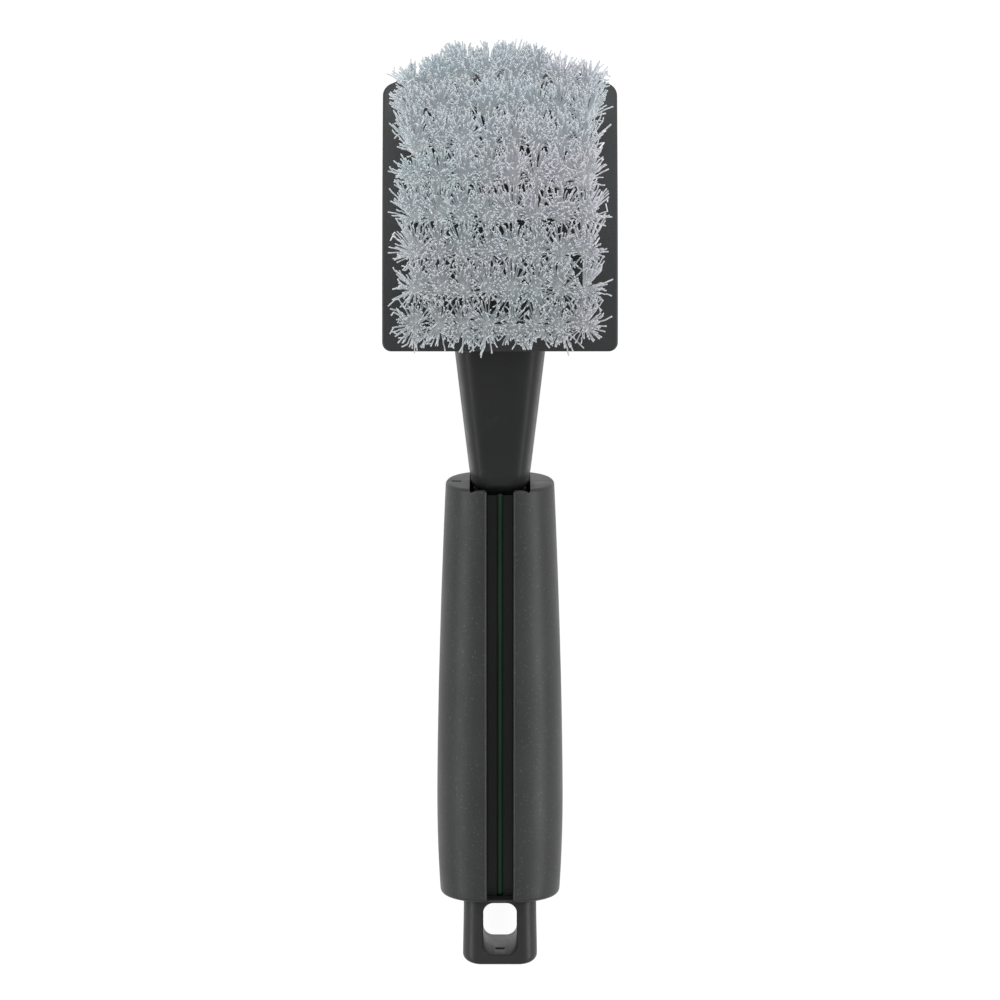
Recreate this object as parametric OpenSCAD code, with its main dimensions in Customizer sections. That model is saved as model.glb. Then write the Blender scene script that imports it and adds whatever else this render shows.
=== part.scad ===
// Wheel brush: a convex tufted head on a short neck, with a two-shell grip and a hang tab.
// The brush lies on its back. +Y runs along the handle to the head, +Z points out of the bristle side.
// Places along the handle are worked out from the end of the hang tab; centre_y moves them to the origin.

/* [Hang tab] */
// Width of the hang tab
tab_w = 22.4; // [16:0.2:26]
// Thickness of the hang tab, front to back
tab_t = 23; // [14:0.2:25]
// Length of the tab below the grip
tab_len = 20.7; // [20.5:0.1:30]
// Width of the hang hole
hole_w = 10.3; // [6:0.1:12]
// Length of the hang hole
hole_len = 16.5; // [8:0.5:17]
// Corner radius of the hang hole
hole_r = 3.2; // [1:0.1:4]

/* [Grip] */
// Length of the grip
grip_len = 128.7; // [110:1:150]
// Width of the grip at the neck
grip_w_top = 32.8; // [28:0.2:36]
// Width of the grip at its widest place
grip_w_max = 38.4; // [34:0.2:44]
// Width of the grip at the hang tab
grip_w_end = 36.4; // [32:0.2:40]
// Depth of the grip, front to back, at the neck
grip_depth = 29; // [27:0.5:32]
// Extra depth of the grip's front where it is widest
grip_swell = 1.4; // [0:0.2:3]
// Width of the slot down the grip's front
slot_w = 7.9; // [5:0.1:10]
// Diameter of the accent rod on the slot's floor
rod_d = 1.9; // [1.4:0.1:2.6]

/* [Neck] */
// Width of the neck where it leaves the grip
neck_w_low = 17.8; // [16:0.2:20]
// Width of the neck at the tuft plate's lower edge
neck_w_high = 27.9; // [22:0.2:32]
// Thickness of the neck
neck_t = 23.2; // [20:0.2:24]
// Length of the neck from the grip to the tuft plate's lower edge
neck_len = 44.7; // [36:0.1:60]

/* [Head] */
// Width of the tuft plate
plate_w = 70; // [64:1:84]
// Thickness of the tuft plate
plate_t = 8; // [7.6:0.2:10]
// Radius of the plate's convex front, which curves back towards the tip
plate_radius = 180; // [170:5:200]
// How far the plate's face leans to the tip at its lower edge, in degrees
plate_lean = 8; // [4:0.5:12]
// Length of the plate along its curve
plate_arc = 89.8; // [88:0.2:92]
// How far the plate's tip edge is arched over the width
arch_sag = 6.8; // [3:0.1:8]

/* [Bristles] */
// Distance from one column of tufts to the next
column_pitch = 7.15; // [7:0.05:7.6]
// Distance from one row of tufts to the next along the curve
row_pitch = 10.6; // [10:0.1:10.8]
// Diameter of a tuft hole
tuft_d = 3.8; // [3:0.1:4]
// Free length of the bristles
bristle_len = 25.5; // [15:0.5:32]
// Radius that a tuft spreads to at its tip
tuft_tip_r = 3.4; // [2.2:0.05:3.4]

/* [Hidden] */
$fn = 48;
ease = 0.1;                                  // clearance between two pieces that meet
reach = 100;                                 // a length that runs out of any piece it cuts

// Handle
mid_z = grip_depth / 2;                      // the grip's parting plane and the middle of tab and core
tab_corner_r = 6;
tab_foot_r = 2.6;
tab_foot_arc_r = 190;
hole_foot = 3.2;                             // wall left under the hang hole
grip_lo = tab_len;
grip_hi = grip_lo + grip_len;
grip_fillet = 1.2;
belly_at = 0.77;                             // where the grip is widest, as a share of its length from the top
belly_rise = 1.6;                            // how the width grows from the neck to the belly
grip_square = 2.35;                          // squareness of the grip's section; 2 is an ellipse
land_rise = 0.6;                             // how far the section would reach under the flat on its back
grip_rings = 14;
half_points = 20;
neck_points = 40;
neck_square = 4.5;                           // squareness of the neck's section
core_w = 16;
core_lo = 5.4;
core_hi = 18.8;
slot_floor = 20.5;
pocket_ease = 0.25;
pocket_depth = 3.2;
pocket_hi = 27.6;
peg_r = 2;
peg_foot = 3.2;
peg_count = 3;
peg_pitch = 42;
peg_first = grip_lo + 22;
rod_r = rod_d / 2;
rod_z = slot_floor - 0.2;
rod_lo = grip_lo + 0.1;
rod_hi = grip_hi - 2.4;

// Head
head_lo = grip_hi + neck_len;                // the plate's lower edge, on its front
plate_turn = plate_arc / plate_radius * 180 / PI;
tip_lean = plate_lean + plate_turn;
back_radius = plate_radius - plate_t;
tip_dip = 0.5;                               // how far the tip's back edge is cut flat to rest on
arc_y = head_lo - plate_radius * sin(plate_lean);
arc_z = -tip_dip - back_radius * cos(tip_lean);
head_back_z = arc_z + back_radius * cos(plate_lean);
tip_corner_r = 4.1;
corner_steps = 6;
arch_steps = 24;
foot_corner_r = 2.7;
arch_x = plate_w / 2 - tip_corner_r;
arch_r = (pow(arch_x, 2) + pow(arch_sag, 2)) / (2 * arch_sag);
weld_pin_r = 1.6;
weld_pin_len = 4;
weld_pin_x = column_pitch;
weld_pin_rows = [1.5, 3.5];                  // rows that the pins stand between

// Tufts
rows = 8;
columns = 8;
first_row = 7.9;                             // from the plate's lower edge to the first row
tuft_depth = 6;
tuft_ease = 0.12;
staple_w = 3.4;
staple_h = 1.8;
staple_t = 0.45;
staple_foot = 0.7;                           // the folded filaments under the staple
staple_ease = 0.05;
arch_share = [0, 0, 0, 0, 0, 0.2, 0.55, 1];  // how far each row follows the arched tip edge

// Whole brush
tip_row_lean = row_lean(rows, column_pitch / 2);
length_y = arc_y + (plate_radius + bristle_len) * sin(tip_row_lean) + tuft_tip_r * cos(tip_row_lean);
centre_y = -length_y / 2;

// Lean of the tuft in this row at x, in degrees from +Z towards +Y
function row_lean(row, x) = plate_lean + (first_row + (row - 1) * row_pitch
    - arch_share[row - 1] * arch_sag * pow(x / arch_x, 2)) / plate_radius * 180 / PI;
function column_x(column) = (column - (columns + 1) / 2) * column_pitch;
function mix(a, b, t) = a + (b - a) * t;
function power(v, squareness) = sign(v) * pow(abs(v), 2 / squareness);

// Height of the middle of the plate's thickness over a place along the handle
function inside_plate_z(y) = arc_z + sqrt(pow(plate_radius - plate_t / 2, 2) - pow(y - arc_y, 2));

// Width of the grip at t, which runs from 0 at the neck to 1 at the tab
function grip_width(t) = t < belly_at
    ? grip_w_max - (grip_w_max - grip_w_top) * pow(1 - t / belly_at, belly_rise)
    : grip_w_max - (grip_w_max - grip_w_end) * pow((t - belly_at) / (1 - belly_at), 2);
function grip_front_depth(t) = grip_depth / 2
    + grip_swell * (grip_width(t) - grip_w_top) / (grip_w_max - grip_w_top);
// Places of the grip's rings: its two rounded ends and even steps between them
function grip_steps() = concat([0, 0.3 * grip_fillet, grip_fillet],
    [for (i = [1 : grip_rings]) mix(grip_fillet, grip_len - grip_fillet, i / grip_rings)],
    [grip_len - 0.3 * grip_fillet, grip_len]);
// How far a rounded end draws the section in at this distance from the grip's top
function end_inset(d) = let(near = min(d, grip_len - d))
    near >= grip_fillet ? 0 : grip_fillet - sqrt(pow(grip_fillet, 2) - pow(grip_fillet - near, 2));

// Half a section of the grip, front (side = 1) or rear (side = -1), with the flat on its back at the floor
function grip_ring(d, side) = let(inset = end_inset(d), half = grip_width(d / grip_len) / 2 - inset,
        deep = (side > 0 ? grip_front_depth(d / grip_len) : grip_depth / 2 + land_rise) - inset - ease)
    [for (i = [0 : half_points]) let(a = 180 * i / half_points)
        [side * half * power(cos(a), grip_square), grip_hi - d,
            max(0, mid_z + side * (ease + deep * power(sin(a), grip_square)))]];

// One section of the neck and its spine: rounded, and narrower at the front
function neck_ring(y, half, low, high, nose) = let(middle = (low + high) / 2, deep = (high - low) / 2)
    [for (i = [0 : neck_points - 1])
        let(a = 360 * i / neck_points, s = power(sin(a), neck_square), c = power(cos(a), neck_square))
        [half * c * (1 - nose * max(s, 0)), y, middle + deep * s]];

// A closed solid through a list of rings that all run the same way, from the +Y end to the -Y end
module loft(rings) {
    n = len(rings[0]);
    last = len(rings) - 1;
    walls = [for (r = [0 : last - 1], i = [0 : n - 1]) let(j = (i + 1) % n)
        each [[r * n + i, (r + 1) * n + j, r * n + j], [r * n + i, (r + 1) * n + i, (r + 1) * n + j]]];
    caps = [[for (i = [0 : n - 1]) i], [for (i = [n - 1 : -1 : 0]) last * n + i]];
    polyhedron(points = [for (ring = rings) each ring], faces = concat(caps, walls));
}

module in_place() {
    translate([0, centre_y, 0]) children();
}

module rounded_square(w, h, r) {
    square([w - 2 * r, h], center = true);
    square([w, h - 2 * r], center = true);
    for (x = [-1, 1], y = [-1, 1])
        translate([x * (w / 2 - r), y * (h / 2 - r)]) circle(r);
}

// Turns +Z to the plate's outward direction at this lean, with the origin on the plate's front
module on_plate(lean) {
    translate([0, arc_y, arc_z]) rotate([-lean, 0, 0]) translate([0, 0, plate_radius]) children();
}

// The curved slab that the plate is cut from, between two radii
module plate_slab(inner, outer, from, to, w) {
    translate([0, arc_y, arc_z]) rotate([0, -90, 0]) rotate([0, 0, from])
        rotate_extrude(angle = to - from, $fn = 180)
            translate([inner, -w / 2]) square([outer - inner, w]);
}

// Outline of the arched tip edge in the plane of the tip, with the edge's middle at the origin
module tip_outline() {
    corner_y = sqrt(pow(arch_r - tip_corner_r, 2) - pow(arch_x, 2)) - arch_r;
    arch_half = asin(arch_x / (arch_r - tip_corner_r));
    right_corner = [for (i = [0 : corner_steps - 1]) let(a = (90 - arch_half) * i / corner_steps)
        [arch_x + tip_corner_r * cos(a), corner_y + tip_corner_r * sin(a)]];
    arch = [for (i = [0 : arch_steps]) let(a = arch_half * (1 - 2 * i / arch_steps))
        [arch_r * sin(a), arch_r * cos(a) - arch_r]];
    left_corner = [for (i = [corner_steps - 1 : -1 : 0]) [-right_corner[i][0], right_corner[i][1]]];
    sides = [[-plate_w / 2, -reach], [plate_w / 2, -reach]];
    polygon(concat(right_corner, arch, left_corner, sides));
}

// Outline of the lower edge in the plane of that edge, with the edge's middle at the origin
module foot_outline() {
    translate([0, reach / 2]) rounded_square(plate_w, reach, foot_corner_r);
}

module weld_pins(r, top) {
    for (row = weld_pin_rows, side = [-1, 1])
        on_plate(row_lean(row, 0)) translate([side * weld_pin_x, 0, -plate_t - 2])
            cylinder(h = 2 + top, r = r);
}

module tuft_holes() {
    for (row = [1 : rows], column = [1 : columns])
        on_plate(row_lean(row, column_x(column))) translate([column_x(column), 0, -tuft_depth])
            cylinder(h = tuft_depth + 1, d = tuft_d);
}

module tuft_plate() {
    color("#26282a") in_place() difference() {
        intersection() {
            plate_slab(back_radius, plate_radius, plate_lean, tip_lean, plate_w);
            on_plate(tip_lean) translate([0, 0, -reach / 2]) linear_extrude(reach) tip_outline();
            on_plate(plate_lean) translate([0, 0, -reach / 2]) linear_extrude(reach) foot_outline();
        }
        tuft_holes();
        weld_pins(weld_pin_r + ease / 2, weld_pin_len + ease);
        translate([-reach / 2, head_lo, -reach]) cube([reach, reach, reach]);
    }
}

// The neck rises to the plate's back, then runs on under it as a spine that thins out to the tip.
// Its front ends at the grip in a rounded nose
module neck_and_spine() {
    low = mid_z - neck_t / 2;
    high = mid_z + neck_t / 2;
    wide = neck_w_high / 2;
    narrow = neck_w_low / 2;
    loft([
        neck_ring(head_lo + 61, 5, inside_plate_z(head_lo + 61) - 4.8, inside_plate_z(head_lo + 61), 0),
        neck_ring(head_lo + 45, 8.4, 12.4, inside_plate_z(head_lo + 45), 0),
        neck_ring(head_lo + 25, 11.2, 12.2, inside_plate_z(head_lo + 25), 0),
        neck_ring(head_lo, wide, 11.4, head_back_z - 0.4, 0.12),
        neck_ring(mix(grip_hi, head_lo, 0.5), (wide + narrow) / 2, 7.6, (high + head_back_z) / 2, 0.12),
        neck_ring(grip_hi + 4, narrow + 0.4, low + 0.5, high + 0.9, 0.13),
        neck_ring(grip_hi + 1.6, narrow, low, high, 0.2),
        neck_ring(grip_hi + 0.2, narrow, low, high - 0.8, 0.36),
        neck_ring(grip_hi - 0.9, narrow, low + 0.2, high - 2.9, 0.6),
        neck_ring(grip_hi - 2.9, narrow - 0.5, low + 1.2, high - 7, 0.5)
    ]);
}

module hang_tab() {
    difference() {
        intersection() {
            translate([0, 0, mid_z]) rotate([-90, 0, 0])
                linear_extrude(grip_lo - ease) rounded_square(tab_w, tab_t, tab_corner_r);
            linear_extrude(reach) intersection() {
                translate([0, reach / 2]) rounded_square(tab_w, reach, tab_foot_r);
                translate([0, tab_foot_arc_r]) circle(tab_foot_arc_r, $fn = 180);
            }
        }
        translate([0, hole_foot + hole_len / 2, 0])
            linear_extrude(reach) rounded_square(hole_w, hole_len, hole_r);
    }
}

module peg_places() {
    for (i = [0 : peg_count - 1]) translate([0, peg_first + i * peg_pitch, 0]) children();
}

module core_bar(gap) {
    translate([-core_w / 2 - gap, grip_lo - 1, core_lo - gap])
        cube([core_w + 2 * gap, grip_len, core_hi - core_lo + 2 * gap]);
}

module handle_frame() {
    color("#2b2d2f") in_place() {
        difference() {
            union() {
                neck_and_spine();
                core_bar(0);
                hang_tab();
            }
            plate_slab(back_radius - ease / 2, plate_radius, plate_lean - 0.1, tip_lean, reach);
            peg_places() cylinder(h = reach, r = peg_r + ease);
        }
        weld_pins(weld_pin_r, weld_pin_len);
    }
}

// One half of the grip's outside with the room for the core and the neck's foot
module grip_half(side) {
    difference() {
        loft([for (d = grip_steps()) grip_ring(d, side)]);
        core_bar(ease);
        translate([-neck_w_low / 2 - pocket_ease, grip_hi - pocket_depth, mid_z - neck_t / 2 - pocket_ease])
            cube([neck_w_low + 2 * pocket_ease, reach, pocket_hi - mid_z + neck_t / 2 + pocket_ease]);
    }
}

module grip_front() {
    color("#454748") in_place() {
        difference() {
            grip_half(1);
            translate([-slot_w / 2, 0, slot_floor]) cube([slot_w, 2 * reach, reach]);
            translate([0, 0, rod_z]) rotate([-90, 0, 0]) cylinder(h = 2 * reach, r = rod_r + 0.05);
        }
        peg_places() translate([0, 0, peg_foot + ease])
            cylinder(h = slot_floor - 1.3 - peg_foot - ease, r = peg_r);
    }
}

module grip_rear() {
    color("#454748") in_place() difference() {
        grip_half(-1);
        peg_places() translate([0, 0, peg_foot]) cylinder(h = reach, r = peg_r + ease / 2);
    }
}

module accent_rod() {
    color("#1f5a38") in_place() translate([0, 0, rod_z]) {
        translate([0, rod_lo + rod_r, 0]) rotate([-90, 0, 0])
            cylinder(h = rod_hi - rod_lo - 2 * rod_r, r = rod_r);
        for (y = [rod_lo + rod_r, rod_hi - rod_r]) translate([0, y, 0]) sphere(rod_r);
    }
}

// Folded filaments in their hole, and the bundle spreading above the plate, round the staple's window
module tuft() {
    shank_r = tuft_d / 2 - tuft_ease;
    difference() {
        union() {
            translate([0, 0, -tuft_depth + 0.05]) cylinder(h = tuft_depth - 0.05, r = shank_r);
            cylinder(h = bristle_len, r1 = shank_r, r2 = tuft_tip_r);
        }
        staple(staple_ease);
    }
}

module staple(gap) {
    translate([0, 0, -tuft_depth + staple_foot + staple_h / 2])
        cube([staple_w + (gap > 0 ? 1 : 0), staple_t + 2 * gap, staple_h + 2 * gap], center = true);
}

module along_row(row) {
    for (column = [1 : columns])
        on_plate(row_lean(row, column_x(column))) translate([column_x(column), 0, 0]) children();
}

module tuft_row(row) {
    color("#b9c2c8") in_place() along_row(row) tuft();
}

module staple_row(row) {
    color("#c9a85c") in_place() along_row(row) staple(0);
}

tuft_plate();
handle_frame();
grip_front();
grip_rear();
accent_rod();
tuft_row(1);  // tuft_row_1
tuft_row(2);  // tuft_row_2
tuft_row(3);  // tuft_row_3
tuft_row(4);  // tuft_row_4
tuft_row(5);  // tuft_row_5
tuft_row(6);  // tuft_row_6
tuft_row(7);  // tuft_row_7
tuft_row(8);  // tuft_row_8
staple_row(1);  // staple_row_1
staple_row(2);  // staple_row_2
staple_row(3);  // staple_row_3
staple_row(4);  // staple_row_4
staple_row(5);  // staple_row_5
staple_row(6);  // staple_row_6
staple_row(7);  // staple_row_7
staple_row(8);  // staple_row_8
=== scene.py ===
"""Looks of the wheel brush: filleted mouldings, a soft two-shell grip and real bristle filaments.

Lengths are in metres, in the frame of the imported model: +Y to the head, +Z out of the bristle side.
"""

import math
import random

import bmesh
import bpy
import numpy as np
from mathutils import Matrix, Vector


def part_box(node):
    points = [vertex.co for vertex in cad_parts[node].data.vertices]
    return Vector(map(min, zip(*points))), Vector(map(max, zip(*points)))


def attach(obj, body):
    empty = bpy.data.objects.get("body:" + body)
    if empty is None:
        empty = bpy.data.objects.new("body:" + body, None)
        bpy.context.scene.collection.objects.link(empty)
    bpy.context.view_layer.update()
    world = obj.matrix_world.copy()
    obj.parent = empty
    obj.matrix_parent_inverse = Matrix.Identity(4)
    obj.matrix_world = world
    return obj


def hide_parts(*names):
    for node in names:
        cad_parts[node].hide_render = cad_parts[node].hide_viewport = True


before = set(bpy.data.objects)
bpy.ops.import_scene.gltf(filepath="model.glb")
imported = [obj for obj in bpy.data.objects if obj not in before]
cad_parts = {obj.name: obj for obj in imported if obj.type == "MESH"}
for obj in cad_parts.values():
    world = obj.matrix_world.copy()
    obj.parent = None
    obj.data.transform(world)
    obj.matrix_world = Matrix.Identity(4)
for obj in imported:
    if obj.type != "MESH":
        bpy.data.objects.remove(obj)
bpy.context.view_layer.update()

MM = 0.001
SHARP_DEG = 38
rng = random.Random(706)


# ---------------------------------------------------------------- sizes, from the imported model

plate_lo, plate_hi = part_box("tuft_plate")
front_lo, front_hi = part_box("grip_front")
rear_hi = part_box("grip_rear")[1]
frame_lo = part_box("handle_frame")[0]
rod_lo, rod_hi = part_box("accent_rod")

EASE = 0.1 * MM                               # clearance between two pieces that meet
MID_Z = rear_hi.z + EASE                      # the grip's parting plane

PLATE_W = plate_hi.x - plate_lo.x
PLATE_T = 8 * MM
PLATE_RADIUS = 180 * MM
PLATE_LEAN = math.radians(8)
PLATE_ARC = 89.8 * MM
ARCH_SAG = 6.8 * MM
HEAD_LO = plate_lo.y + PLATE_T * math.sin(PLATE_LEAN)
ARC_Y = HEAD_LO - PLATE_RADIUS * math.sin(PLATE_LEAN)
ARC_Z = plate_hi.z - PLATE_RADIUS * math.cos(PLATE_LEAN)
TIP_LEAN = PLATE_LEAN + PLATE_ARC / PLATE_RADIUS
BACK_RADIUS = PLATE_RADIUS - PLATE_T
TIP_CORNER_R = 4.1 * MM
FOOT_CORNER_R = 2.7 * MM
ARCH_X = PLATE_W / 2 - TIP_CORNER_R
BEND_STEP = 2 * MM                             # how finely the flat plate is cut up to be bent

ROWS = COLUMNS = 8
COLUMN_PITCH = 7.15 * MM
ROW_PITCH = 10.6 * MM
FIRST_ROW = 7.9 * MM
TUFT_HOLE_R = 1.9 * MM
TUFT_DEPTH = 6 * MM
ARCH_SHARE = (0, 0, 0, 0, 0, 0.2, 0.55, 1)
BRISTLE_LEN = 25.5 * MM
SPLAY = PLATE_W / 2 + 0.4 * MM                # how far out from the middle a filament's end may come

GRIP_LO, GRIP_HI = front_lo.y, front_hi.y
GRIP_LEN = GRIP_HI - GRIP_LO
GRIP_W_TOP, GRIP_W_MAX, GRIP_W_END = 32.8 * MM, front_hi.x - front_lo.x, 36.4 * MM
GRIP_DEPTH = 2 * MID_Z
GRIP_SWELL = 1.4 * MM
GRIP_SQUARE = 2.35
GRIP_FILLET = 1.2 * MM
CHAMFER = 0.18 * MM                            # along the parting line
LAND_RISE = 0.6 * MM
BELLY_AT, BELLY_RISE = 0.77, 1.6
SLOT_W = 7.9 * MM
SLOT_FLOOR = 20.5 * MM
CORE_W, CORE_LO, CORE_HI = 16 * MM, 5.4 * MM, 18.8 * MM
POCKET_DEPTH, POCKET_HI = 3.2 * MM, 27.6 * MM

NECK_T = 23.2 * MM
NECK_LOW, NECK_HIGH = 8.9 * MM, 13.95 * MM
NECK_SQUARE = 4.5

TAB_END = frame_lo.y
TAB_W, TAB_T = 22.4 * MM, 23 * MM
HOLE_W, HOLE_LEN, HOLE_R, HOLE_FOOT = 10.3 * MM, 16.5 * MM, 3.2 * MM, 3.2 * MM


# ---------------------------------------------------------------- small helpers

def mix(a, b, t):
    return a + (b - a) * t


def power(v, squareness):
    """A sine or cosine bent for a section that is squarer than an ellipse, which has squareness 2."""
    return math.copysign(abs(v) ** (2 / squareness), v)


def spread(a, b, count):
    """Evenly spaced values from a to b."""
    return [mix(a, b, i / (count - 1)) for i in range(count)]


def smooth_step(t):
    t = min(max(t, 0), 1)
    return t * t * (3 - 2 * t)


def add_object(name, mesh):
    ob = bpy.data.objects.new(name, mesh)
    bpy.context.scene.collection.objects.link(ob)
    return ob


def mesh_object(name, verts, faces, sharp_deg=SHARP_DEG):
    mesh = bpy.data.meshes.new(name)
    mesh.from_pydata([tuple(v) for v in verts], [], faces)
    mesh.validate()
    bm = bmesh.new()
    bm.from_mesh(mesh)
    bmesh.ops.recalc_face_normals(bm, faces=bm.faces)
    bm.to_mesh(mesh)
    bm.free()
    shade(mesh, sharp_deg)
    return add_object(name, mesh)


def shade(mesh, sharp_deg=SHARP_DEG):
    """Smooth shading, with edges sharp above this angle."""
    mesh.polygons.foreach_set("use_smooth", [True] * len(mesh.polygons))
    mesh.set_sharp_from_angle(angle=math.radians(sharp_deg))


def tube_faces(first, n, rings):
    """The side faces of a tube of rings of n points, which follow each other from vertex number first."""
    return [(a + i, a + (i + 1) % n, a + n + (i + 1) % n, a + n + i)
            for a in range(first, first + (rings - 1) * n, n) for i in range(n)]


def loft(name, rings, sharp_deg=SHARP_DEG):
    """A closed solid through rings of equal length."""
    n = len(rings[0])
    verts = [p for ring in rings for p in ring]
    last = (len(rings) - 1) * n
    faces = tube_faces(0, n, len(rings)) + [tuple(range(n)), tuple(range(last + n - 1, last - 1, -1))]
    return mesh_object(name, verts, faces, sharp_deg)


def apply_modifier(ob, modifier):
    """Bakes the object's only modifier into a new mesh."""
    bpy.context.view_layer.update()
    depsgraph = bpy.context.evaluated_depsgraph_get()
    mesh = bpy.data.meshes.new_from_object(ob.evaluated_get(depsgraph))
    ob.modifiers.remove(modifier)
    old = ob.data
    ob.data = mesh
    bpy.data.meshes.remove(old)


def boolean(ob, cutter, operation="DIFFERENCE"):
    modifier = ob.modifiers.new("cut", "BOOLEAN")
    modifier.operation = operation
    modifier.solver = "EXACT"
    modifier.object = cutter
    apply_modifier(ob, modifier)
    bpy.data.objects.remove(cutter)


def bevel(ob, width, segments=3, angle_deg=40):
    modifier = ob.modifiers.new("bevel", "BEVEL")
    modifier.width = width
    modifier.segments = segments
    modifier.limit_method = "ANGLE"
    modifier.angle_limit = math.radians(angle_deg)
    modifier.use_clamp_overlap = True
    apply_modifier(ob, modifier)


def block(lo, hi):
    """A box between two corners, for cutting with."""
    verts = [(x, y, z) for x in (lo[0], hi[0]) for y in (lo[1], hi[1]) for z in (lo[2], hi[2])]
    faces = [(0, 1, 3, 2), (4, 6, 7, 5), (0, 4, 5, 1), (2, 3, 7, 6), (0, 2, 6, 4), (1, 5, 7, 3)]
    return mesh_object("cutter", verts, faces)


def rounded_rectangle(w, h, r, steps=8):
    """Points of a rounded rectangle about the origin, anticlockwise from its right side."""
    points = []
    for cx, cy, start in ((1, 1, 0), (-1, 1, 90), (-1, -1, 180), (1, -1, 270)):
        for i in range(steps + 1):
            a = math.radians(start + 90 * i / steps)
            points.append((cx * (w / 2 - r) + r * math.cos(a), cy * (h / 2 - r) + r * math.sin(a)))
    return points


# ---------------------------------------------------------------- materials

class Nodes:
    """A short way to write a node tree."""

    def __init__(self, name):
        self.material = bpy.data.materials.new(name)
        self.material.use_nodes = True
        self.tree = self.material.node_tree
        self.tree.nodes.clear()
        self.output = self.add("ShaderNodeOutputMaterial")
        self.shader = self.add("ShaderNodeBsdfPrincipled")
        self.link(self.shader.outputs["BSDF"], self.output.inputs["Surface"])
        self.place = self.add("ShaderNodeTexCoord").outputs["Object"]

    def add(self, kind, **values):
        node = self.tree.nodes.new(kind)
        for key, value in values.items():
            setattr(node, key, value)
        return node

    def link(self, a, b):
        self.tree.links.new(a, b)

    def noise(self, scale, detail=2, roughness=0.5, stretch=(1, 1, 1)):
        mapping = self.add("ShaderNodeMapping")
        mapping.inputs["Scale"].default_value = stretch
        self.link(self.place, mapping.inputs["Vector"])
        node = self.add("ShaderNodeTexNoise")
        node.inputs["Scale"].default_value = scale
        node.inputs["Detail"].default_value = detail
        node.inputs["Roughness"].default_value = roughness
        self.link(mapping.outputs["Vector"], node.inputs["Vector"])
        return node.outputs["Fac"]

    def axis(self, name):
        """One of the piece's own coordinates."""
        node = self.add("ShaderNodeSeparateXYZ")
        self.link(self.place, node.inputs["Vector"])
        return node.outputs[name]

    def ramp(self, value, stops):
        node = self.add("ShaderNodeValToRGB")
        ramp = node.color_ramp
        while len(ramp.elements) < len(stops):
            ramp.elements.new(0.5)
        for element, (at, colour) in zip(ramp.elements, stops):
            element.position = at
            element.color = (*colour, 1)
        self.link(value, node.inputs["Fac"])
        return node.outputs["Color"]

    def product(self, a, b):
        node = self.add("ShaderNodeMath", operation="MULTIPLY")
        self.link(a, node.inputs[0])
        self.link(b, node.inputs[1])
        return node.outputs[0]

    def level(self, value, low, high, to_low, to_high):
        node = self.add("ShaderNodeMapRange")
        for key, number in (("From Min", low), ("From Max", high), ("To Min", to_low), ("To Max", to_high)):
            node.inputs[key].default_value = number
        self.link(value, node.inputs["Value"])
        return node.outputs["Result"]

    def blended_level(self, value, place, low, high):
        """A noise that also grows from one side of the piece to the other, as a factor from 0 to 1."""
        node = self.add("ShaderNodeMath", operation="ADD")
        self.link(self.level(value, 0.35, 0.65, 0, 0.6), node.inputs[0])
        self.link(self.level(place, low, high, 0, 0.4), node.inputs[1])
        return node.outputs[0]

    def blend(self, a, b, factor, kind="MIX"):
        node = self.add("ShaderNodeMix", data_type="RGBA", blend_type=kind)
        for value, socket in ((factor, node.inputs[0]), (a, node.inputs[6]), (b, node.inputs[7])):
            if isinstance(value, (int, float)):
                socket.default_value = value
            elif isinstance(value, tuple):
                socket.default_value = (*value, 1)
            else:
                self.link(value, socket)
        return node.outputs[2]

    def bump(self, heights):
        """Chains bumps given as (height, strength, distance)."""
        normal = None
        for height, strength, distance in heights:
            node = self.add("ShaderNodeBump")
            node.inputs["Strength"].default_value = strength
            node.inputs["Distance"].default_value = distance
            self.link(height, node.inputs["Height"])
            if normal is not None:
                self.link(normal, node.inputs["Normal"])
            normal = node.outputs["Normal"]
        self.link(normal, self.shader.inputs["Normal"])

    def set(self, **values):
        for key, value in values.items():
            socket = self.shader.inputs[key.replace("_", " ")]
            if hasattr(value, "links"):
                self.link(value, socket)
            else:
                socket.default_value = value


def head_material():
    """Moulded black plastic with a fine spark-eroded texture."""
    m = Nodes("head_plastic")
    broad = m.noise(38, 3)
    grain = m.noise(3800, 2, 0.6)
    colour = m.ramp(broad, [(0.3, (0.020, 0.021, 0.022)), (0.7, (0.027, 0.028, 0.029))])
    colour = m.blend(colour, (0.060, 0.062, 0.064), m.level(grain, 0.62, 0.75, 0, 0.3))
    m.set(Base_Color=colour, Roughness=m.level(broad, 0.3, 0.7, 0.50, 0.62), IOR=1.4)
    m.bump([(grain, 0.35, 0.00004), (m.noise(260, 2), 0.15, 0.0001)])
    return m.material


def frame_material():
    """Smooth black plastic with faint flow marks along the handle and light handling wear.

    It is a little glossier at the tab than at the neck."""
    m = Nodes("frame_plastic")
    flow = m.noise(60, 3, 0.5, (1, 0.12, 1))
    fine = m.noise(2600, 2, 0.6)
    rub = m.noise(160, 4, 0.65)
    colour = m.ramp(flow, [(0.3, (0.0165, 0.017, 0.017)), (0.7, (0.0215, 0.022, 0.022))])
    colour = m.blend(colour, (0.035, 0.036, 0.037), m.level(rub, 0.62, 0.8, 0, 0.5))
    m.set(Base_Color=colour, Roughness=m.level(rub, 0.3, 0.75, 0.36, 0.48), IOR=1.33,
          Specular_IOR_Level=m.level(m.axis("Y"), GRIP_LO, GRIP_HI, 0.66, 0.4))
    m.bump([(fine, 0.18, 0.00003), (flow, 0.2, 0.0002)])
    return m.material


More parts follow.
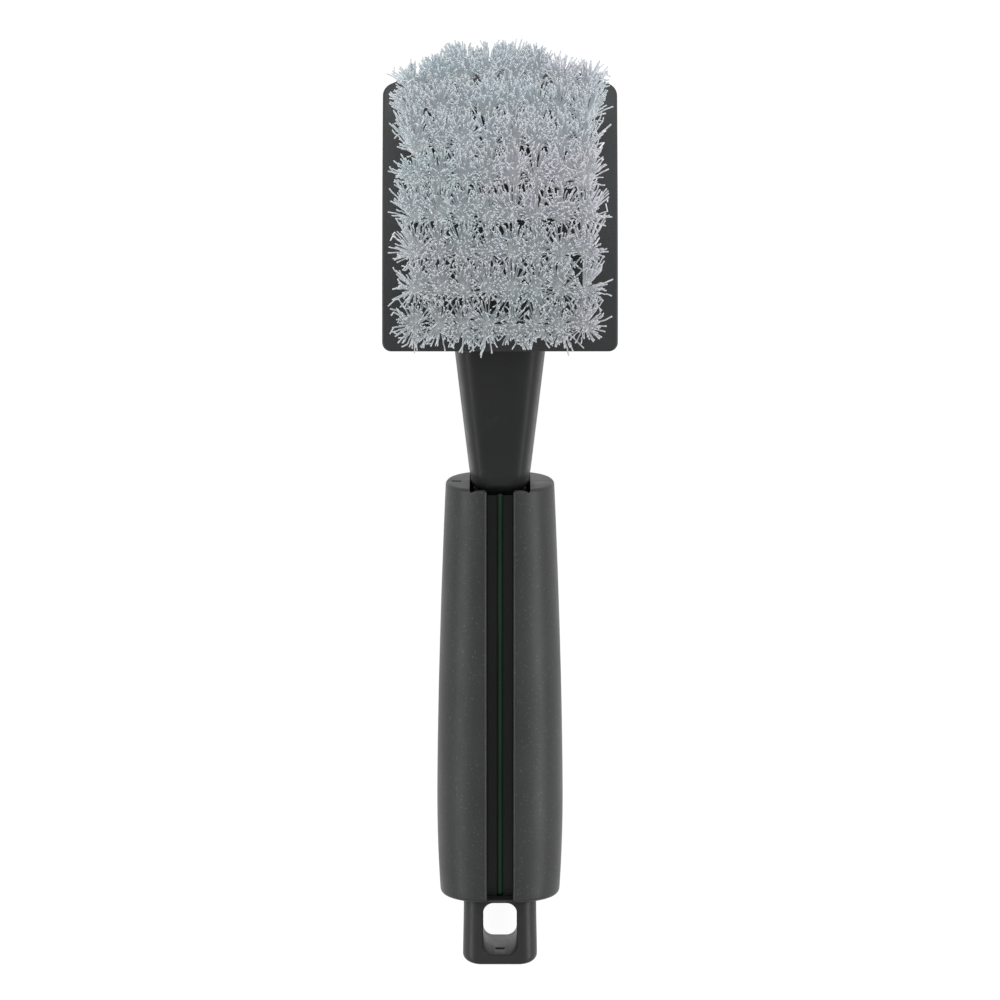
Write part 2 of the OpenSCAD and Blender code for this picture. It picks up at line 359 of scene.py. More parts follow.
def grip_material():
    """Soft-touch dark grey rubber: very fine grain, dusty specks and slightly polished areas.

    Painted shade: the slot is darker below its lip, a little less so towards the grip's lower end."""
    m = Nodes("grip_rubber")
    broad = m.noise(30, 3)
    grain = m.noise(4200, 2, 0.6)
    specks = m.noise(1500, 1, 0.4)
    smudge = m.noise(120, 4, 0.6, (1, 0.5, 1))
    colour = m.ramp(broad, [(0.3, (0.020, 0.0212, 0.0208)), (0.7, (0.028, 0.0293, 0.0288))])
    colour = m.blend(colour, (0.12, 0.123, 0.124), m.level(specks, 0.62, 0.78, 0, 0.3))
    # painted shade in the slot: a mask over its floor and lower walls darkens the rubber there
    inner, outer = SLOT_W / 2 - 0.35 * MM, SLOT_W / 2 + 0.15 * MM
    slot_shade = m.level(m.axis("X"), -outer, -inner, 0, 1)
    slot_shade = m.product(slot_shade, m.level(m.axis("X"), inner, outer, 1, 0))
    slot_shade = m.product(slot_shade, m.level(m.axis("Z"), SLOT_FLOOR + 2 * MM, SLOT_FLOOR + 5.7 * MM, 1, 0))
    slot_shade = m.product(slot_shade, m.level(m.axis("Y"), GRIP_LO, GRIP_LO + 45 * MM, 0.6, 1))
    colour = m.blend(colour, (0.009, 0.0095, 0.0095), m.product(slot_shade, m.level(broad, 0.3, 0.7, 0.7, 0.85)))
    m.set(Base_Color=colour, Roughness=m.level(smudge, 0.3, 0.7, 0.38, 0.48), IOR=1.38)
    m.bump([(grain, 0.4, 0.00005), (smudge, 0.12, 0.00015)])
    return m.material


def accent_material():
    """Dark green plastic with pale streaks along its length."""
    m = Nodes("accent_plastic")
    streak = m.noise(500, 3, 0.5, (1, 0.08, 1))
    colour = m.ramp(streak, [(0.3, (0.013, 0.045, 0.021)), (0.7, (0.020, 0.062, 0.031))])
    m.set(Base_Color=colour, Roughness=m.level(streak, 0.3, 0.7, 0.42, 0.55), IOR=1.5)
    m.bump([(m.noise(2400, 2), 0.15, 0.00003)])
    return m.material


def bristle_material():
    """Cool grey filament. Painted light makes it paler in the depth of the tuft and towards the head's tip,
    and painted shade darkens its cut end, which faces the light.

    'shade' varies it by filament, 'rise' runs from the hole to the free end and 'tip' marks the cut end.
    The small emission stands for the light that nylon lets through."""
    m = Nodes("bristle")
    shade_value = m.add("ShaderNodeAttribute", attribute_name="shade").outputs["Fac"]
    rise_value = m.add("ShaderNodeAttribute", attribute_name="rise").outputs["Fac"]
    tip_value = m.add("ShaderNodeAttribute", attribute_name="tip").outputs["Fac"]
    streak = m.noise(900, 2)
    tint = m.blend((0.50, 0.575, 0.595), (0.595, 0.58, 0.625),
                   m.blended_level(m.noise(42, 2), m.axis("X"), -0.03, 0.03))
    colour = m.blend(tint, m.level(shade_value, 0, 1, 0.82, 1.08), 1.0, "MULTIPLY")
    # painted light and shade: the filaments are darker in the lower rows and paler towards the head's tip
    colour = m.blend(colour, m.level(m.axis("Y"), HEAD_LO + 10 * MM, plate_hi.y, 0.88, 1.25), 1.0, "MULTIPLY")
    colour = m.blend(colour, (0.70, 0.73, 0.74), m.level(streak, 0.45, 0.75, 0, 0.2))
    # painted light: the filaments are paler near their roots, in the depth of the tuft
    colour = m.blend((0.82, 0.84, 0.85), colour, m.level(rise_value, 0.3, 0.9, 0.0, 1.0))
    # painted shade: the cut ends, which face the light, are darkened
    colour = m.blend(colour, (0.43, 0.45, 0.455), m.level(tip_value, 0.0, 1.0, 0.0, 0.85))
    m.set(Base_Color=colour, Roughness=m.level(streak, 0.3, 0.7, 0.42, 0.56), IOR=1.4,
          Emission_Color=colour, Emission_Strength=0.1)
    m.bump([(m.noise(5200, 1), 0.1, 0.00003)])
    return m.material


def staple_material():
    """Drawn brass wire."""
    m = Nodes("staple_brass")
    draw = m.noise(900, 3, 0.5, (0.1, 1, 1))
    colour = m.ramp(draw, [(0.3, (0.62, 0.45, 0.19)), (0.7, (0.78, 0.60, 0.30))])
    m.set(Base_Color=colour, Metallic=1.0, Roughness=m.level(draw, 0.3, 0.7, 0.25, 0.4))
    m.bump([(draw, 0.2, 0.00003)])
    return m.material


# ---------------------------------------------------------------- tuft plate

def plate_point(x, s, h):
    """A place on the plate: x across, s along the curve from the lower edge, h above the front."""
    lean = PLATE_LEAN + s / PLATE_RADIUS
    reach = PLATE_RADIUS + h
    return Vector((x, ARC_Y + reach * math.sin(lean), ARC_Z + reach * math.cos(lean)))


def tuft_place(row, column):
    """x and s of the tuft in this row and column, counted from 0."""
    x = (column - (COLUMNS - 1) / 2) * COLUMN_PITCH
    return x, FIRST_ROW + row * ROW_PITCH - ARCH_SHARE[row] * ARCH_SAG * (x / ARCH_X) ** 2


def plate_outline(inset, arc_steps=36, corner_steps=8):
    """The plate's outline laid flat in (x, s), drawn in by inset, anticlockwise from the lower left."""
    half = PLATE_W / 2
    arch_r = (ARCH_X ** 2 + ARCH_SAG ** 2) / (2 * ARCH_SAG)
    arch_s = PLATE_ARC - arch_r
    corner_s = arch_s + math.sqrt((arch_r - TIP_CORNER_R) ** 2 - ARCH_X ** 2)
    arch_half = math.asin(ARCH_X / (arch_r - TIP_CORNER_R))
    foot, tip = FOOT_CORNER_R, TIP_CORNER_R
    points = []
    for a in spread(math.pi, 1.5 * math.pi, corner_steps):
        points.append((-half + foot + (foot - inset) * math.cos(a), foot + (foot - inset) * math.sin(a)))
    for a in spread(1.5 * math.pi, 2 * math.pi, corner_steps):
        points.append((half - foot + (foot - inset) * math.cos(a), foot + (foot - inset) * math.sin(a)))
    for a in spread(0, math.pi / 2 - arch_half, corner_steps):
        points.append((half - tip + (tip - inset) * math.cos(a), corner_s + (tip - inset) * math.sin(a)))
    for a in spread(arch_half, -arch_half, arc_steps)[1:-1]:
        points.append(((arch_r - inset) * math.sin(a), arch_s + (arch_r - inset) * math.cos(a)))
    for a in spread(math.pi / 2 + arch_half, math.pi, corner_steps):
        points.append((-half + tip + (tip - inset) * math.cos(a), corner_s + (tip - inset) * math.sin(a)))
    return points


def flat_prism(profile, outline_at):
    """A slab through (inset, height) pairs, each ring drawn by outline_at(inset)."""
    return [[(x, s, h) for x, s in outline_at(inset)] for inset, h in profile]


def fillet_profile(thickness, r, steps=5):
    """(inset, height) pairs down a slab's edge with both of its edges rounded."""
    top = [(r - r * math.sin(a), -r + r * math.cos(a)) for a in spread(0, math.pi / 2, steps)]
    return top + [(inset, -thickness - h) for inset, h in reversed(top)]


def make_plate():
    """The plate is filleted and drilled while it is flat, and then bent."""
    ob = loft("tuft_plate", flat_prism(fillet_profile(PLATE_T, 0.7 * MM), plate_outline))
    verts, faces = [], []
    sides = 24
    for row in range(ROWS):
        for column in range(COLUMNS):
            x, s = tuft_place(row, column)
            first = len(verts)
            for h in (-TUFT_DEPTH, MM):
                for i in range(sides):
                    a = 2 * math.pi * i / sides
                    verts.append((x + TUFT_HOLE_R * math.cos(a), s + TUFT_HOLE_R * math.sin(a), h))
            faces += tube_faces(first, sides, 2)
            faces += [tuple(range(first + sides - 1, first - 1, -1)),
                      tuple(range(first + sides, first + 2 * sides))]
    boolean(ob, mesh_object("cutter", verts, faces))
    bm = bmesh.new()
    bm.from_mesh(ob.data)
    for s in np.arange(BEND_STEP, PLATE_ARC, BEND_STEP):
        everything = bm.verts[:] + bm.edges[:] + bm.faces[:]
        bmesh.ops.bisect_plane(bm, geom=everything, plane_co=(0, s, 0), plane_no=(0, 1, 0))
    for v in bm.verts:
        v.co = plate_point(*v.co)
        v.co.z = max(v.co.z, 0)
    bmesh.ops.recalc_face_normals(bm, faces=bm.faces)
    bm.to_mesh(ob.data)
    bm.free()
    shade(ob.data, 30)
    return ob


# ---------------------------------------------------------------- handle frame

def neck_ring(y, half, low, high, nose, count=96):
    """A squarish section, drawn in towards its front by nose."""
    middle, deep = (low + high) / 2, (high - low) / 2
    ring = []
    for i in range(count):
        a = 2 * math.pi * i / count
        c, s = power(math.cos(a), NECK_SQUARE), power(math.sin(a), NECK_SQUARE)
        ring.append((half * c * (1 - nose * max(s, 0)), y, middle + deep * s))
    return ring


def inside_plate_z(y, depth=PLATE_T / 2):
    """The height of a place inside the plate, depth below its front."""
    return ARC_Z + math.sqrt((PLATE_RADIUS - depth) ** 2 - (y - ARC_Y) ** 2)


def make_neck():
    """The neck and its spine under the plate. Its front ends at the grip in a rounded nose."""
    low, high = MID_Z - NECK_T / 2, MID_Z + NECK_T / 2
    back = ARC_Z + BACK_RADIUS * math.cos(PLATE_LEAN) - 0.4 * MM
    stations = [                               # y, half width, low, high, nose
        (GRIP_HI - 2.9 * MM, NECK_LOW - 0.3 * MM, low + 1.2 * MM, high - 7 * MM, 0.3),
        (GRIP_HI - 0.9 * MM, NECK_LOW, low + 0.2 * MM, high - 2.9 * MM, 0.3),
        (GRIP_HI + 0.2 * MM, NECK_LOW, low, high - 0.8 * MM, 0.2),
        (GRIP_HI + 1.6 * MM, NECK_LOW, low, high, 0.15),
        (GRIP_HI + 4 * MM, NECK_LOW + 0.4 * MM, low + 0.5 * MM, high + 0.9 * MM, 0.13),
        (mix(GRIP_HI, HEAD_LO, 0.5), mix(NECK_LOW, NECK_HIGH, 0.5), 7.6 * MM, mix(high, back, 0.5), 0.12),
        (HEAD_LO, NECK_HIGH, 11.4 * MM, back, 0.12),
        (HEAD_LO + 25 * MM, 11.2 * MM, 12.2 * MM, inside_plate_z(HEAD_LO + 25 * MM), 0),
        (HEAD_LO + 45 * MM, 8.4 * MM, 12.4 * MM, inside_plate_z(HEAD_LO + 45 * MM), 0),
        (HEAD_LO + 61 * MM, 5 * MM, inside_plate_z(HEAD_LO + 61 * MM) - 4.8 * MM,
         inside_plate_z(HEAD_LO + 61 * MM), 0)]
    at = np.array([station[0] for station in stations])
    nose_end, foot_end = GRIP_HI + 5 * MM, at[0]
    places = spread(foot_end, nose_end, 28) + spread(nose_end, HEAD_LO, 30)[1:]
    places += spread(HEAD_LO, at[-1], 36)[1:]
    rings = []
    for y in places:
        soft = min(0.6 * MM, y - foot_end) if y < nose_end else 0
        values = [float(np.mean(np.interp([y - soft, y, y + soft], at, [station[k] for station in stations])))
                  for k in range(1, 5)]
        rings.append(neck_ring(y, *values))
    return loft("handle_frame", rings, 50)


def make_tab():
    """The hang tab: a thick rounded bar, flared a little to its end, with the hang hole through it."""
    length = GRIP_LO - EASE - TAB_END
    corner, foot, shoulder = 2.7 * MM, 1.3 * MM, 0.5 * MM    # roundings: end in plan, end in side view, root
    thin_len = 2.2 * MM                        # the tab thins over this length to the grip
    places = [corner * (1 - math.cos(a)) for a in spread(0, math.pi / 2, 14)]
    places += spread(corner * 1.15, length - shoulder, 14)
    places += [length - shoulder * (1 - math.sin(a)) for a in spread(0, math.pi / 2, 6)[1:]]
    rings = []
    for d in places:
        near = max(shoulder - (length - d), 0)
        drop = shoulder - math.sqrt(max(shoulder ** 2 - near ** 2, 0))
        slope = max(thin_len - (length - d), 0) * 0.5
        inset_x = drop + corner - math.sqrt(max(corner ** 2 - max(corner - d, 0) ** 2, 0))
        inset_z = drop + foot - math.sqrt(max(foot ** 2 - max(foot - d, 0) ** 2, 0))
        wide = TAB_W + (0.35 - 0.6 * smooth_step(d / length)) * MM - 2 * inset_x
        outline = rounded_rectangle(wide, TAB_T - 1.6 * inset_z - slope, 4.9 * MM - 0.7 * inset_x, 14)
        sag = 0.3 * MM * (1 - smooth_step(d / corner))
        rings.append([(x, TAB_END + d + sag * (x / (TAB_W / 2)) ** 2, MID_Z + z) for x, z in outline])
    ob = loft("hang_tab", rings)
    middle = TAB_END + HOLE_FOOT + HOLE_LEN / 2

    def hole_cutter(*stations):
        """A cutter through (height, growth) stations."""
        rings = []
        for z, grow in stations:
            hole = rounded_rectangle(HOLE_W + 2 * grow, HOLE_LEN + 2 * grow, HOLE_R + grow, 12)
            rings.append([(x, middle + y, z) for x, y in hole])
        return loft("cutter", rings)

    rim = 0.35 * MM                            # the hole's edges are eased front and back
    front, back = MID_Z + TAB_T / 2, MID_Z - TAB_T / 2
    half_way = 0.08 * MM
    boolean(ob, hole_cutter(
        (back - MM, rim + MM), (back, rim), (back + rim, half_way), (back + 1.5 * rim, 0),
        (front - 1.5 * rim, 0), (front - rim, half_way), (front, rim), (front + MM, rim + MM)))
    gate_z = MID_Z + 4.2 * MM                  # the sunk mark of the moulding gate on the hole's end wall
    gate_y = TAB_END + HOLE_FOOT
    boolean(ob, block((-1.45 * MM, gate_y - 0.3 * MM, gate_z - 1.2 * MM),
                      (1.45 * MM, gate_y + MM, gate_z + 1.2 * MM)))
    return ob


def make_handle_frame():
    """The neck with its spine, the core in the grip and the hang tab, as one moulding."""
    ob = make_neck()
    boolean(ob, make_plate_room())
    core = block((-CORE_W / 2, GRIP_LO - 2 * MM, CORE_LO), (CORE_W / 2, GRIP_HI - MM, CORE_HI))
    bevel(core, 0.6 * MM, 2)
    boolean(ob, core, "UNION")
    boolean(ob, make_tab(), "UNION")
    shade(ob.data)
    return ob


def make_plate_room():
    """The space that the plate takes, a little wider, for cutting the spine to the plate's back."""
    leans = spread(PLATE_LEAN - math.radians(0.1), TIP_LEAN, 60)
    radii = (BACK_RADIUS - EASE / 2, PLATE_RADIUS + 2 * MM)
    rings = []
    for lean in leans:
        rings.append([(x, ARC_Y + r * math.sin(lean), ARC_Z + r * math.cos(lean))
                      for x, r in ((-PLATE_W, radii[0]), (PLATE_W, radii[0]),
                                   (PLATE_W, radii[1]), (-PLATE_W, radii[1]))])
    return loft("cutter", rings)


# ---------------------------------------------------------------- grip

def grip_width(t):
    """The grip's width at this share of its length, from its top."""
    if t < BELLY_AT:
        return GRIP_W_MAX - (GRIP_W_MAX - GRIP_W_TOP) * (1 - t / BELLY_AT) ** BELLY_RISE
    return GRIP_W_MAX - (GRIP_W_MAX - GRIP_W_END) * ((t - BELLY_AT) / (1 - BELLY_AT)) ** 2


def end_inset(d):
    """How far the fillets at the grip's ends draw its section in, at this distance from its top."""
    near = min(d, GRIP_LEN - d)
    if near >= GRIP_FILLET:
        return 0
    return GRIP_FILLET - math.sqrt(GRIP_FILLET ** 2 - (GRIP_FILLET - near) ** 2)


def grip_steps():
    """Distances from the grip's top, closer together in the fillets."""
    rounded = [GRIP_FILLET * (1 - math.cos(a)) for a in spread(0, math.pi / 2, 7)]
    return rounded + spread(GRIP_FILLET, GRIP_LEN - GRIP_FILLET, 54)[1:-1] + [
        GRIP_LEN - d for d in reversed(rounded)]


def arc(cx, cz, r, start, end, count):
    return [(cx + r * math.cos(a), cz + r * math.sin(a))
            for a in spread(math.radians(start), math.radians(end), count)]


def front_section(d):
    """Half of the front shell's section at this distance from the grip's top, from the parting plane."""
    t, inset = d / GRIP_LEN, end_inset(d)
    width = grip_width(t)
    half = width / 2 - inset
    deep = GRIP_DEPTH / 2 + GRIP_SWELL * (width - GRIP_W_TOP) / (GRIP_W_MAX - GRIP_W_TOP) - inset - EASE
    base = MID_Z + EASE
    lip = 0.9 * MM                             # the rounding of the slot's edge
    slot = SLOT_W / 2 + 0.7 * inset
    stop = math.acos(((slot + lip) / half) ** (GRIP_SQUARE / 2))
    outer = [(half - CHAMFER, base)] + [
        (half * power(math.cos(a), GRIP_SQUARE), base + max(CHAMFER, deep * power(math.sin(a), GRIP_SQUARE)))
        for a in spread(0, stop, 44)]
    top = outer[-1][1]
    edge = arc(slot + lip, top - lip, lip, 90, 180, 7)[1:]
    floor_r = 0.5 * MM
    floor = arc(slot - floor_r, SLOT_FLOOR + floor_r, floor_r, 0, -90, 4)
    groove_r = (rod_hi.x - rod_lo.x) / 2 + 0.05 * MM
    groove_z = (rod_lo.z + rod_hi.z) / 2
    sink = math.degrees(math.asin((SLOT_FLOOR - groove_z) / groove_r))
    groove = arc(0, groove_z, groove_r, sink, -90, 8)
    return outer + edge + floor + groove


def cavity_half(side):
    """Half of the room for the core in a shell, from the middle out to the parting plane."""
    top = CORE_HI + EASE if side > 0 else CORE_LO - EASE
    x = CORE_W / 2 + EASE
    return [(x * 0.5, top), (x, top), (x, MID_Z + side * EASE)]


def mirrored(points):
    return [(-x, z) for x, z in reversed(points)]


def shell_section(right, side):
    """A shell's section from its right half: round the outside, then back through the room for the core."""
    inner = cavity_half(side)
    return right + mirrored(right)[1:] + mirrored(inner) + inner


def make_grip_front():
    """The front shell, with the slot and the groove for the rod."""
    rings = []
    for d in grip_steps():
        rings.append([(x, GRIP_HI - d, z) for x, z in shell_section(front_section(d), 1)])
    ob = loft("grip_front", rings, 40)
    cut_pocket(ob)
    # a short notch at the parting line, left of the neck
    boolean(ob, block((-14.6 * MM, GRIP_HI - 1.5 * MM, MID_Z - MM),
                      (-11.7 * MM, GRIP_HI + MM, MID_Z + 1.2 * MM)))
    shade(ob.data, 40)
    return ob


def make_grip_rear():
    """The rear shell, cut flat where the brush rests on it."""
    rings = []
    for d in grip_steps():
        t, inset = d / GRIP_LEN, end_inset(d)
        half = grip_width(t) / 2 - inset
        deep = GRIP_DEPTH / 2 + LAND_RISE - inset - EASE
        base = MID_Z - EASE
        right = [(half - CHAMFER, base)] + [
            (half * power(math.cos(a), GRIP_SQUARE),
             max(0, base - max(CHAMFER, deep * power(math.sin(a), GRIP_SQUARE))))
            for a in spread(0, math.pi / 2, 44)]
        rings.append([(x, GRIP_HI - d, z) for x, z in shell_section(right, -1)])
    ob = loft("grip_rear", rings, 40)
    cut_pocket(ob)
    return ob


def cut_pocket(ob):
    """The room for the foot of the neck in the grip's top."""
    ease = 0.25 * MM
    lo = (-NECK_LOW - ease, GRIP_HI - POCKET_DEPTH, MID_Z - NECK_T / 2 - ease)
    hi = (NECK_LOW + ease, GRIP_HI + 5 * MM, POCKET_HI)
    cutter = block(lo, hi)
    bevel(cutter, 0.8 * MM, 3)
    boolean(ob, cutter)
    shade(ob.data, 40)


def make_rod():
    """The accent rod: a round bar with domed ends."""
    r = (rod_hi.x - rod_lo.x) / 2
    z = (rod_lo.z + rod_hi.z) / 2
    ends = [(1 - math.cos(a), math.sin(a)) for a in spread(0.05, math.pi / 2, 7)]
    stations = [(rod_lo.y + r * d, r * size) for d, size in ends]
    stations += [(y, r) for y in spread(rod_lo.y + 2 * r, rod_hi.y - 2 * r, 30)]
    stations += [(rod_hi.y - r * d, r * size) for d, size in reversed(ends)]
    rings = [[(size * math.cos(a), y, z + size * math.sin(a))
              for a in (2 * math.pi * i / 24 for i in range(24))] for y, size in stations]
    return loft("accent_rod", rings, 60)


# ---------------------------------------------------------------- bristles and staples

FILAMENTS = (108, 128)                         # free ends in a tuft, in the first row and the last
FILAMENT_R = 0.205 * MM
FILAMENT_SIDES = 5
FILAMENT_RINGS = 10
ROOT_DEPTH = 2.5 * MM
ROOT_R = 1.62 * MM                             # the bundle where it leaves its hole
CLUMPS = 48                                    # clumps of free ends in a tuft
CLUMP_PULL, OWN_PULL = 0.8, 0.28               # how far an end goes with its clump and on its own
STRAY_SHARE = 0.015                            # filaments that have splayed out of their tuft
KINKED_SHARE = 0.04                            # filaments with a sharply bent end
CUT_END = 0.35 * MM                            # the length of the marked cut end


class Strands:
    """Collects filaments into one mesh with a shade for each and a mark at its tip."""

    def __init__(self):
        self.verts, self.faces, self.shade, self.rise, self.tip = [], [], [], [], []

    def add(self, path, radius, shade_value):
        first, n = len(self.verts), FILAMENT_SIDES
        side = Vector((0.31, 0.94, 0.12))
        sizes = spread(0.82, 1.04, len(path) - 2) + [1.14, 0.85]
        for k, point in enumerate(path):
            ahead = (path[min(k + 1, len(path) - 1)] - path[max(k - 1, 0)]).normalized()
            u = ahead.cross(side).normalized()
            v = ahead.cross(u)
            for i in range(n):
                a = 2 * math.pi * i / n
                self.verts.append(point + radius * sizes[k] * (math.cos(a) * u + math.sin(a) * v))
            self.shade += [shade_value] * n
            self.rise += [k / (len(path) - 1)] * n
            self.tip += [1.0 if k >= len(path) - 2 else 0.0] * n
        self.faces += tube_faces(first, n, len(path))
        end = first + (len(path) - 1) * n
        self.faces.append(tuple(range(first + n - 1, first - 1, -1)))
        self.faces.append(tuple(range(end, end + n)))

    def build(self, name):
        ob = mesh_object(name, self.verts, self.faces, 60)
        for key, values in (("shade", self.shade), ("rise", self.rise), ("tip", self.tip)):
            layer = ob.data.attributes.new(key, "FLOAT", "POINT")
            layer.data.foreach_set("value", values)
        return ob


def in_disc():
    """A random place in the unit disc, a little more often near its rim."""
    a, r = rng.uniform(0, 2 * math.pi), rng.random() ** 0.42
    return r * math.cos(a), r * math.sin(a)


def add_tuft(strands, row, column):
    """Filaments from one hole, whose free ends lie in clumps over a patch that changes from row to row."""
    x0, s0 = tuft_place(row, column)
    up_head = row / (ROWS - 1)
    spread_x = mix(7.8, 7.2, up_head) * MM
    spread_down = mix(8.8, 9.6, min(3 * up_head, 1)) * MM
    spread_up = mix(10.4, 4.6, up_head ** 3) * MM
    lean_back = (2 + 1.5 * (x0 / ARCH_X) ** 2) * MM * up_head ** 3
    lean_x, lean_s = rng.gauss(0, 0.5 * MM), rng.gauss(0, 0.5 * MM) - lean_back
    lean_x += 0.9 * MM * up_head * (x0 / (3.5 * COLUMN_PITCH)) ** 3
    clumps = [in_disc() for _ in range(CLUMPS)]
    tuft_shade = rng.gauss(0, 0.07)
    base = plate_point(x0, s0, 0)
    for i in range(round(mix(*FILAMENTS, up_head))):
        cx, cs = clumps[i % len(clumps)]
        jx, js = in_disc()
        tip_x = spread_x * (CLUMP_PULL * cx + OWN_PULL * jx)
        tip_s = CLUMP_PULL * cs + OWN_PULL * js
        tip_s *= spread_up if tip_s > 0 else spread_down
        root_x, root_s = ROOT_R * (0.62 * cx + 0.38 * jx), ROOT_R * (0.62 * cs + 0.38 * js)
        length = BRISTLE_LEN + rng.gauss(0, 0.3 * MM) - abs(rng.gauss(0, 0.5 * MM))
        if rng.random() < STRAY_SHARE:
            far = rng.uniform(1.4, 2.0)
            tip_x, tip_s, length = tip_x * far, tip_s * min(far, 1.3), length * 0.92
        tip_x, tip_s = tip_x + lean_x, tip_s + lean_s
        tip_x = min(max(tip_x, -SPLAY - x0), SPLAY - x0)
        rise = math.sqrt(max(length ** 2 - tip_x ** 2 - tip_s ** 2, (0.5 * length) ** 2))
        bow = rng.uniform(0.2, 0.6)
        crimp, phase, turns = rng.uniform(0.06, 0.2) * MM, rng.uniform(0, 6.3), rng.uniform(18, 26)
        swing = rng.uniform(0, 2 * math.pi)
        path = [plate_point(x0 + root_x, s0 + root_s, -ROOT_DEPTH)]
        for k in range(FILAMENT_RINGS):
            t = k / (FILAMENT_RINGS - 1)
            out = (1 - bow) * t + bow * t * t
            wave = crimp * math.sin(phase + turns * t) * min(1, 3 * t)
            across = root_x * (1 - t) + tip_x * out + wave * math.cos(swing)
            along = root_s * (1 - t) + tip_s * out + wave * math.sin(swing)
            path.append(base + filament_offset(s0, across, along, rise * t))
        kind = rng.random()
        if kind < mix(0.25, 0.1, up_head):     # its end is bent
            reach = (path[-1] - path[-2]).length
            sharp = 1.6 if kind < KINKED_SHARE else 0.7
            bend = Vector((rng.uniform(-1, 1), rng.uniform(-1, 1), rng.uniform(-0.3, 0.3))) * sharp
            path[-1] = path[-2] + reach * ((path[-1] - path[-2]) / reach + bend).normalized()
        end = (path[-1] - path[-2]).normalized()
        strands.add(path[:-1] + [path[-1] - CUT_END * end, path[-1], path[-1] + 0.1 * MM * end],
                    FILAMENT_R * rng.uniform(0.9, 1.1), min(max(0.5 + tuft_shade + rng.gauss(0, 0.2), 0), 1))


def filament_offset(s, across, along, up):
    """An offset in the tuft's own directions: across the plate, along its curve and out of it."""
    lean = PLATE_LEAN + s / PLATE_RADIUS
    return Vector((across,
                   along * math.cos(lean) + up * math.sin(lean),
                   -along * math.sin(lean) + up * math.cos(lean)))


def make_tuft_row(row):
    strands = Strands()
    for column in range(COLUMNS):
        add_tuft(strands, row, column)
    return strands.build(f"tuft_row_{row + 1}")


def make_staple_row(row):
    """Flat-wire anchors: cut ends spread a little where they bite into the hole."""
    verts, faces = [], []
    half_w, half_t, half_h = 1.7 * MM, 0.2 * MM, 0.9 * MM
    middle = -TUFT_DEPTH + 0.7 * MM + half_h   # above the fold of the filaments
    for column in range(COLUMNS):
        x0, s0 = tuft_place(row, column)
        first = len(verts)
        stations = (-1, -0.86, -0.4, 0, 0.4, 0.86, 1)
        for w in stations:
            thick = half_t * (1.25 if abs(w) > 0.8 else 1)
            tall = half_h * (0.9 if abs(w) == 1 else 1)
            outline = rounded_rectangle(2 * thick, 2 * tall, 0.12 * MM, 2)
            for s, h in outline:
                verts.append(plate_point(x0 + w * half_w, s0, 0)
                             + filament_offset(s0, 0, s, middle + h))
        n = (len(verts) - first) // len(stations)
        faces += tube_faces(first, n, len(stations))
        faces.append(tuple(range(first + n - 1, first - 1, -1)))
        faces.append(tuple(range(len(verts) - n, len(verts))))
    return mesh_object(f"staple_row_{row + 1}", verts, faces)


# ---------------------------------------------------------------- light, floor and camera

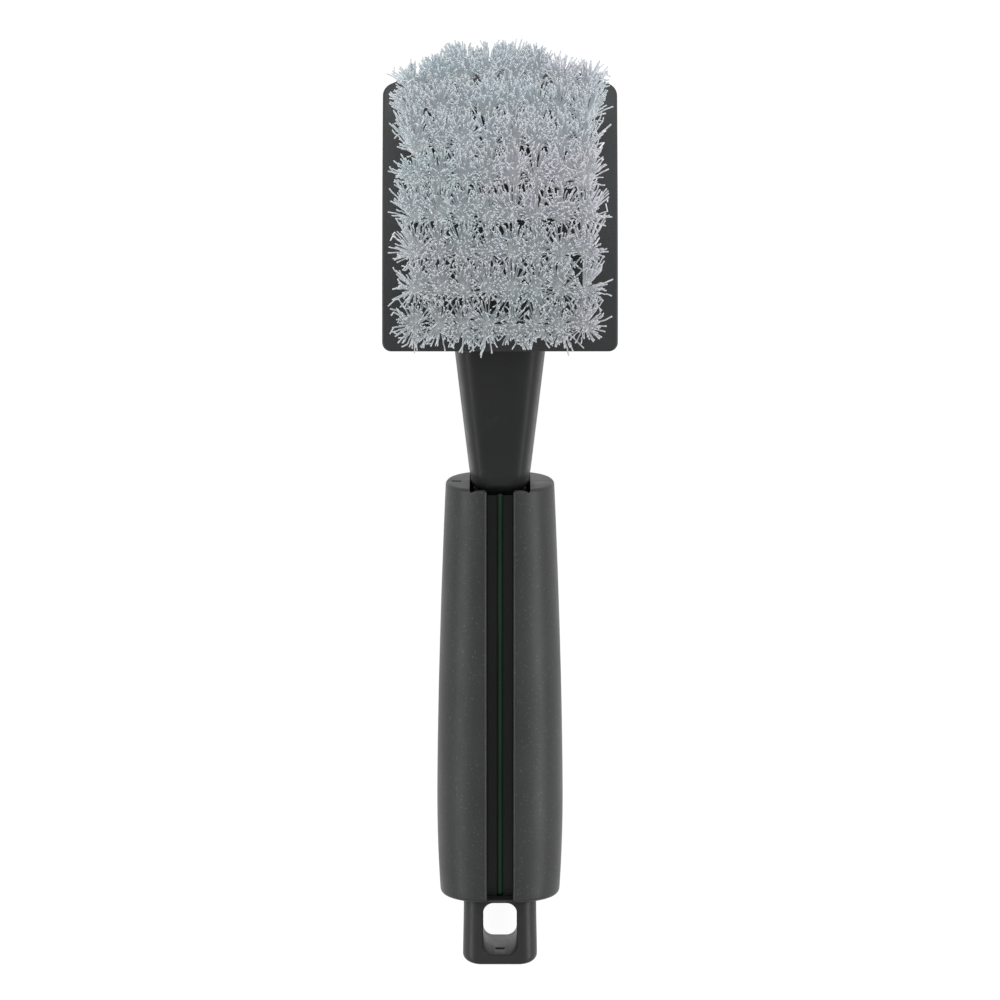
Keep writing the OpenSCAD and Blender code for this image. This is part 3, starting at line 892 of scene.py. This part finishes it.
def make_stage():
    """A pale floor that runs out of sight, an even world and three soft boxes."""
    floor_reach = 14
    floor = block((-floor_reach, -floor_reach, -0.01), (floor_reach, floor_reach, 0))
    floor.name = "floor"
    m = Nodes("floor_paper")
    tone = m.noise(1.5, 2)
    m.set(Base_Color=m.ramp(tone, [(0.3, (0.08, 0.08, 0.08)), (0.7, (0.095, 0.095, 0.095))]), Roughness=0.9,
          Emission_Color=(1, 1, 1, 1), Emission_Strength=0.95)
    floor.data.materials.append(m.material)

    # an even studio, a little brighter overhead
    world = bpy.data.worlds.new("studio")
    world.use_nodes = True
    tree = world.node_tree
    height = tree.nodes.new("ShaderNodeSeparateXYZ")
    tree.links.new(tree.nodes.new("ShaderNodeTexCoord").outputs["Generated"], height.inputs["Vector"])
    ramp = tree.nodes.new("ShaderNodeValToRGB")
    ramp.color_ramp.elements.new(0.5)
    for element, (at, tone) in zip(ramp.color_ramp.elements, ((0.0, 0.45), (0.45, 0.45), (0.95, 0.5))):
        element.position = at
        element.color = (tone, tone, tone, 1)
    tree.links.new(height.outputs["Z"], ramp.inputs["Fac"])
    tree.links.new(ramp.outputs["Color"], tree.nodes["Background"].inputs["Color"])
    bpy.context.scene.world = world

    def softbox(name, place, aim, size, power_w):
        light = bpy.data.lights.new(name, "AREA")
        light.shape = "RECTANGLE"
        light.size, light.size_y = size
        light.energy = power_w
        ob = bpy.data.objects.new(name, light)
        ob.location = place
        ob.rotation_euler = (Vector(aim) - Vector(place)).to_track_quat("-Z", "Y").to_euler()
        bpy.context.scene.collection.objects.link(ob)

    brush = (0, 0, 0.01)
    softbox("left_box", (-0.9, 0.0, 0.55), brush, (1.3, 0.3), 6.5)
    softbox("right_box", (0.9, 0.0, 0.55), brush, (1.3, 0.3), 7.5)
    softbox("head_box", (0.0, 1.1, 0.75), brush, (1.2, 0.4), 9.5)


def make_camera():
    """A long lens above the brush, a little to the head's side."""
    distance, tilt = 1.8, math.radians(12.5)
    aim = Vector((0, -0.00047, 0.013))
    pixels_per_m, image_px, sensor = 3300, 1000, 36
    data = bpy.data.cameras.new("camera")
    data.sensor_width = sensor
    data.lens = pixels_per_m * distance / image_px * sensor
    data.clip_end = 10
    ob = bpy.data.objects.new("camera", data)
    ob.location = aim + distance * Vector((0, math.sin(tilt), math.cos(tilt)))
    ob.rotation_euler = (-tilt, 0, 0)
    bpy.context.scene.collection.objects.link(ob)
    bpy.context.scene.camera = ob
    bpy.context.scene.view_settings.view_transform = "Standard"


# ---------------------------------------------------------------- the brush

def finish_piece(ob, material, slot, *nodes):
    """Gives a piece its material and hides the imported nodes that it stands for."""
    ob.data.materials.clear()
    ob.data.materials.append(material)
    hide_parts(*nodes)
    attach(ob, "root")


make_camera()
make_stage()
grip_finish = grip_material()
bristle_finish = bristle_material()
staple_finish = staple_material()
finish_piece(make_plate(), head_material(), "head_plastic", "tuft_plate")
finish_piece(make_handle_frame(), frame_material(), "frame_plastic", "handle_frame")
finish_piece(make_grip_front(), grip_finish, "grip_rubber", "grip_front")
finish_piece(make_grip_rear(), grip_finish, "grip_rubber", "grip_rear")
finish_piece(make_rod(), accent_material(), "accent_plastic", "accent_rod")
for index in range(ROWS):
    finish_piece(make_tuft_row(index), bristle_finish, "bristle", f"tuft_row_{index + 1}")
    finish_piece(make_staple_row(index), staple_finish, "staple_brass", f"staple_row_{index + 1}")
